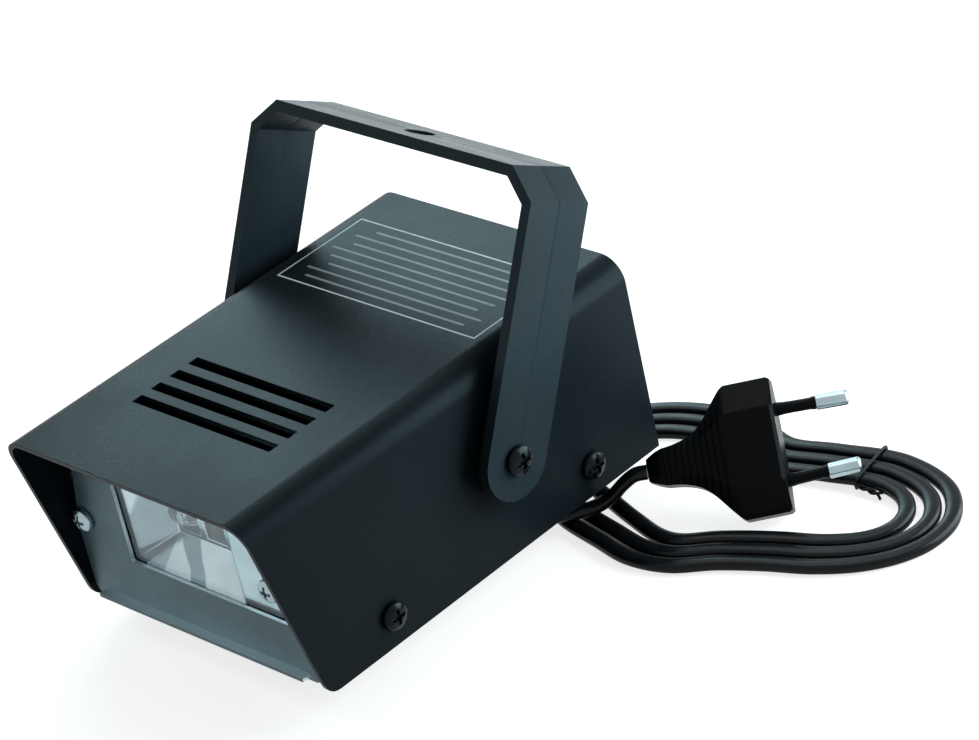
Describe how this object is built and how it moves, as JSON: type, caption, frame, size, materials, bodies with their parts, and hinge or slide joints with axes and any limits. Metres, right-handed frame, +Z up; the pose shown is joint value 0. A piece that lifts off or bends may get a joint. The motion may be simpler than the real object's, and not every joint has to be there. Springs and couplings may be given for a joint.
{
  "type": "strobe light",
  "caption": "Compact box-shaped strobe light with a raked hood over its lamp window, a tilting hanging bracket, a speed knob, rubber feet and a coiled mains cord with a flat plug.",
  "frame": {"origin": "on the standing surface, under the middle of the case with its bracket and knob, cord left out", "axes": "+Z up; the lamp looks along -Y; +Y to the rear wall with the knob and the cord; +X to the side that lies to the right when seen from the front"},
  "size_m": [0.1859, 0.1794, 0.1064],
  "materials": {
    "case_coat": "fine textured powder coat, dark slate",
    "tray_coat": "smooth dark powder coat",
    "panel_grey": "satin metallic grey",
    "clear_pane": "clear, flat",
    "reflector_bright": "bright anodised",
    "tube_glass": "clear quartz",
    "ceramic": "unglazed ceramic",
    "board": "brown laminate",
    "winding": "enamelled copper wire",
    "black_plastic": "moulded",
    "zinc": "zinc plated",
    "knob_plastic": "moulded, satin",
    "rubber": "matt",
    "bracket_plastic": "moulded, fine grain",
    "flex": "smooth vinyl sheath",
    "tie_plastic": "coated wire",
    "plug_plastic": "moulded vinyl",
    "black_steel": "black plated",
    "chrome": "nickel plated, bright",
    "capacitor_sleeve": "shrunk sleeve"
  },
  "bodies": {
    "housing": {"cover": "case_coat", "base_tray": "tray_coat", "front_panel": "panel_grey", "window_pane": "clear_pane", "reflector": "reflector_bright", "flash_tube": "tube_glass", "tube_holder": "ceramic", "circuit_board": "board", "trigger_coil": "winding", "ballast_resistor": "ceramic", "thyristor": "black_plastic", "potentiometer": "zinc", "potentiometer_nut": "zinc", "cord_boot": "rubber", "cord_hank": "flex", "cord_lead": "flex", "cord_tail": "flex", "cord_tie": "tie_plastic", "plug_body": "plug_plastic", "foot_1": "rubber", "standoff_1": "zinc", "foot_2": "rubber", "standoff_2": "zinc", "foot_3": "rubber", "standoff_3": "zinc", "foot_4": "rubber", "standoff_4": "zinc", "case_screw_left_front": "black_steel", "case_screw_left_rear": "black_steel", "pivot_screw_left": "black_steel", "pivot_nut_left": "zinc", "pivot_spacer_left": "bracket_plastic", "lamp_screw_left": "chrome", "lamp_nut_left": "zinc", "case_screw_right_front": "black_steel", "case_screw_right_rear": "black_steel", "pivot_screw_right": "black_steel", "pivot_nut_right": "zinc", "pivot_spacer_right": "bracket_plastic", "lamp_screw_right": "chrome", "lamp_nut_right": "zinc", "storage_capacitor_1": "capacitor_sleeve", "plug_pin_1": "chrome", "pin_sleeve_1": "plug_plastic", "storage_capacitor_2": "capacitor_sleeve", "plug_pin_2": "chrome", "pin_sleeve_2": "plug_plastic"},
    "bracket": {"bracket": "bracket_plastic"},
    "knob": {"control_shaft": "zinc", "speed_knob": "knob_plastic"}
  },
  "joints": [
    {"name": "bracket_tilt", "type": "hinge", "parent": "housing", "child": "bracket", "pos_m": [0, 0.00822, 0.0375], "axis": [1, 0, 0], "range_deg": [-61, 84]},
    {"name": "speed_turn", "type": "hinge", "parent": "housing", "child": "knob", "pos_m": [0.02, 0.0645, 0.042], "axis": [0, 1, 0], "range_deg": [-140, 140]}
  ]
}
